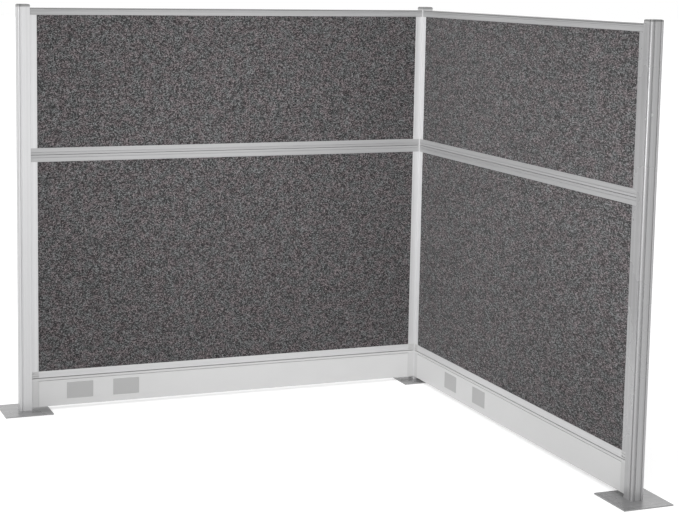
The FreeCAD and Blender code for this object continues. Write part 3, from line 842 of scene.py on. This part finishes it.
def make_cap_mesh(plain):
    """A lid on the skin of its post, ring by ring from its rim to its crown, with its tongues."""
    work = bmesh.new()
    crown = work.verts.layers.float.new("crown")
    skin = post_skin(plain)
    shoulder = cap_height - cap_dome - cap_round
    # Each ring's last value is its share of the crown's painted shade.
    levels = [(cap_rim, 0.0, 0.0), (0.0, cap_rim, 0.0), (0.0, shoulder - 2 * painted_shade_edge, 0.0),
              (0.0, shoulder - painted_shade_edge, 1.0), (0.0, shoulder, 1.0)]
    for step in range(1, cap_steps + 1):
        angle = math.radians(90 * step / cap_steps)
        inset, rise = cap_round * (1 - math.cos(angle)), cap_round * math.sin(angle)
        levels.append((inset, shoulder + rise, 1.0))
    for inward, below in dome_rings:
        levels.append((half_post * inward, cap_height - cap_dome * below, 1.0))
    rings = []
    for inset, height, share in levels:
        scale = (half_post - inset) / half_post
        ring = [work.verts.new((x * scale, y * scale, post_top + height)) for x, y in skin]
        for vert in ring:
            vert[crown] = share
        rings.append(ring)
    for lower, upper in zip(rings, rings[1:]):
        for step in range(len(lower)):
            after = (step + 1) % len(lower)
            work.faces.new((lower[step], lower[after], upper[after], upper[step]))
    work.faces.new(rings[-1])
    work.faces.new(list(reversed(rings[0])))
    for quarter in range(4):
        turned = Matrix.Rotation(math.radians(90 * quarter), 4, "Z")
        tongue = bmesh.ops.create_cube(work, size=1.0)["verts"]
        bmesh.ops.scale(work, verts=tongue, vec=(tongue_thickness, 2 * tongue_half, tongue_depth))
        middle = Vector((tongue_reach - tongue_thickness / 2, 0.0, post_top - tongue_depth / 2))
        bmesh.ops.translate(work, verts=tongue, vec=middle)
        rims = list({edge for vert in tongue for edge in vert.link_edges})
        made = bmesh.ops.bevel(work, geom=rims, offset=tongue_edge, segments=2, profile=0.5,
                               affect="EDGES")
        whole = {vert for face in made["faces"] for vert in face.verts}
        bmesh.ops.rotate(work, verts=list(whole), matrix=turned, cent=(0, 0, 0))
    mesh = bpy.data.meshes.new("post_cap")
    work.to_mesh(mesh)
    work.free()
    return mesh


def cap_finish_with_painted_shade():
    """Two tones, parted where the crown begins: the skirt's enamel and the crown's painted shade,
    with the fine mottle of a casting.
    """
    material, tree, shader = new_material("cap_enamel")
    part = place_node(tree, "ShaderNodeAttribute", attribute_name="crown")
    around = tree.nodes.new("ShaderNodeTexCoord").outputs["Object"]
    mottle = place_node(tree, "ShaderNodeTexNoise", around, Scale=260.0, Detail=3.0,
                        Roughness=0.6).outputs["Fac"]
    shade = place_node(tree, "ShaderNodeMapRange", part.outputs["Fac"], To_Min=skirt_shade,
                       To_Max=painted_crown_shade)
    uneven = place_node(tree, "ShaderNodeMapRange", mottle, To_Min=0.9, To_Max=1.1)
    tone = place_node(tree, "ShaderNodeMath", shade.outputs["Result"], uneven.outputs["Result"],
                      operation="MULTIPLY").outputs[0]
    colour = place_node(tree, "ShaderNodeCombineColor", tone, tone, tone)
    bump = place_node(tree, "ShaderNodeBump", Strength=0.08, Distance=0.0003, Height=mottle)
    rough = place_node(tree, "ShaderNodeMapRange", mottle, To_Min=0.34, To_Max=0.44)
    settle(shader, Base_Color=colour.outputs["Color"], Normal=bump.outputs["Normal"],
           Roughness=rough.outputs["Result"], Metallic=0.2)
    return material


cap_enamel = cap_finish_with_painted_shade()
for post, (foot, plain) in POSTS.items():
    mesh = make_cap_mesh(plain)
    mesh.transform(Matrix.Translation(foot))
    finish_piece(post + "_cap_lid", mesh, cap_enamel, post + "_cap",
                 [post + "_post_cap"])


# Foot plates: square steel plates under the posts, ground and then brushed one way, clear coated.
# They shine enough to show the foot of the post. Screws from below hold them in the posts' ports.
plate_edge, coplanar_angle, least_edge_angle = 0.0006, math.radians(1), math.radians(40)
plate_grain = (14.0, 900.0, 900.0)


def softened(node, radius):
    """A copy of a CAD node: its loose triangles welded, its faces made whole, its edges rounded."""
    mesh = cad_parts[node].data.copy()
    work = bmesh.new()
    work.from_mesh(mesh)
    bmesh.ops.remove_doubles(work, verts=work.verts, dist=weld_distance)
    bmesh.ops.dissolve_limit(work, angle_limit=coplanar_angle, verts=work.verts, edges=work.edges)
    rims = [edge for edge in work.edges
            if len(edge.link_faces) == 2 and edge.calc_face_angle(0.0) > least_edge_angle]
    bmesh.ops.bevel(work, geom=rims, offset=radius, segments=2, profile=0.5, affect="EDGES",
                    clamp_overlap=False)
    work.to_mesh(mesh)
    work.free()
    return mesh


brushed_steel = metal_finish("brushed_foot_steel", plate_grain, dark=0.24, light=0.42,
                             roughness=0.27, metallic=0.40, relief=0.12)
for post in POSTS:
    name = post + "_foot_plate"
    finish_piece(name + "_brushed", softened(name, plate_edge), brushed_steel, FRAME_BODY,
                 [name])


# Raceway covers: folded steel sheets along both sides of the base, enamelled light grey.
# They snap over the clips and stand 25 mm clear when they are pulled off.
cover_edge, cover_top, cover_top_band, cover_top_ease = 0.00035, 0.1280, 0.002, 0.0008
uneven_tone, uneven_sheen = 0.025, 0.04
enamel_grain, enamel_relief = 700.0, 0.12


def enamel_finish(name, shade, roughness, grain, relief):
    """A sprayed or moulded surface: an even colour with a faint mottle and its fine skin."""
    material, tree, shader = new_material(name)
    around = tree.nodes.new("ShaderNodeTexCoord").outputs["Object"]
    mottle = place_node(tree, "ShaderNodeTexNoise", around, Scale=9.0, Detail=3.0,
                        Roughness=0.5).outputs["Fac"]
    tone = place_node(tree, "ShaderNodeMix", data_type="RGBA", Factor=mottle,
                      A=grey(shade * (1 - uneven_tone)), B=grey(shade * (1 + uneven_tone)))
    skin = place_node(tree, "ShaderNodeTexNoise", around, Scale=grain, Detail=2.0, Roughness=0.5)
    bump = place_node(tree, "ShaderNodeBump", Strength=relief, Distance=0.0003,
                      Height=skin.outputs["Fac"])
    rough = place_node(tree, "ShaderNodeMapRange", mottle, To_Min=roughness - uneven_sheen,
                       To_Max=roughness + uneven_sheen)
    settle(shader, Base_Color=tone.outputs["Result"], Normal=bump.outputs["Normal"],
           Roughness=rough.outputs["Result"])
    return material


raceway_enamel = enamel_finish("raceway_enamel", shade=0.64, roughness=0.45, grain=enamel_grain,
                               relief=enamel_relief)
for wall in WALL_AXES:
    for side in ("inner", "outer"):
        name = "%s_%s_cover" % (wall, side)
        sheet = softened(name, cover_edge)
        for vert in sheet.vertices:
            if vert.co.z > cover_top - cover_top_band:
                vert.co.z -= cover_top_ease
        finish_piece(name + "_sheet", sheet, raceway_enamel, name, [name])


# Blank plates: moulded plastic plates that fill the receptacle cut-outs, darker than the covers,
# with a fine moulded texture and slightly rounded rims. A springy tab at each end holds them.
blank_edge = 0.0005
blank_plastic = enamel_finish("blank_plastic", shade=0.44, roughness=0.55, grain=1600.0,
                              relief=0.25)
for wall in WALL_AXES:
    for side in ("inner", "outer"):
        for number in ("1", "2"):
            name = "%s_%s_blank_%s" % (wall, side, number)
            finish_piece(name + "_plate", softened(name, blank_edge), blank_plastic, name,
                         [name])


# End blocks: moulded plastic blocks that close the feet of the stiles, darker than the rails
# between them. Two grip grooves run along their faces.
block_edge = 0.0005
moulded_grain, moulded_relief = 1200.0, 0.2
grip_rises, grip_width, grip_depth, grip_wall = (0.0085, 0.0200), 0.0052, 0.0034, 0.0003
cut_reach, face_reach = 1e-7, 0.0002


def grooved(mesh, centres, width, depth, wall):
    """Presses level grooves into the faces that lie farthest out from the middle of their wall."""
    work = bmesh.new()
    work.from_mesh(mesh)
    for centre in centres:
        low, high = centre - width / 2, centre + width / 2
        for level in (low, low + wall, high - wall, high):
            bmesh.ops.bisect_plane(work, geom=work.verts[:] + work.edges[:] + work.faces[:],
                                   dist=cut_reach, plane_co=UP * level, plane_no=UP)
        for vert in work.verts:
            if abs(vert.co.z - centre) > (width - wall) / 2:
                continue
            for axis in (0, 1):
                out = vert.co[axis] - half_wall
                if abs(abs(out) - half_panel) < face_reach:
                    vert.co[axis] -= math.copysign(depth, out)
    work.to_mesh(mesh)
    work.free()
    return mesh


end_block_plastic = enamel_finish("end_block_plastic", shade=0.52, roughness=0.5,
                                  grain=moulded_grain, relief=moulded_relief)
blocks = grooved(softened("rail_end_blocks", block_edge),
                 [frame_bottom + rise for rise in grip_rises], grip_width, grip_depth, grip_wall)
finish_piece("rail_end_blocks_moulded", blocks, end_block_plastic, FRAME_BODY,
             ["rail_end_blocks"])


# Raceway insides: the folded chassis, the square end ducts, the power harness and its blocks. The
# chassis is enamelled like the covers, the ducts a shade darker, and the harness is black plastic.
duct_edge = 0.0003


def dress(names, material):
    """Gives CAD nodes a finish and leaves their meshes alone."""
    for name in names:
        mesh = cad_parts[name].data
        mesh.materials.clear()
        mesh.materials.append(material)


chassis_enamel = enamel_finish("chassis_enamel", shade=0.60, roughness=0.5, grain=enamel_grain,
                               relief=enamel_relief)
duct_enamel = enamel_finish("duct_enamel", shade=0.56, roughness=0.5, grain=enamel_grain,
                            relief=enamel_relief)
module_plastic = enamel_finish("power_module_plastic", shade=0.05, roughness=0.5,
                               grain=moulded_grain, relief=moulded_relief)
dress(["back_raceway_chassis", "side_raceway_chassis"], chassis_enamel)
dress(["back_power_harness", "side_power_harness"], module_plastic)
finish_piece("raceway_end_ducts", softened("raceway_end_brackets", duct_edge), duct_enamel,
             FRAME_BODY, ["raceway_end_brackets"])


# Boards and hardware that nothing shows from outside: core boards, angle keys, tongues, spring
# clips and screws. The boards are pressed fibre and the rest is zinc plated steel.
zinc_grain = (300.0, 300.0, 300.0)
zinc_plate = metal_finish("zinc_plate", zinc_grain, dark=0.46, light=0.54, roughness=0.35,
                          metallic=0.9)
fibre_board = enamel_finish("fibre_board", shade=0.36, roughness=0.9, grain=500.0, relief=0.6)
dress(["lower_core_boards", "upper_core_boards"], fibre_board)
dress(["foot_screws", "frame_corner_keys", "joining_tongues", "raceway_bracket_screws",
       "raceway_hanger_screws", "cover_clips"], zinc_plate)

low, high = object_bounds()
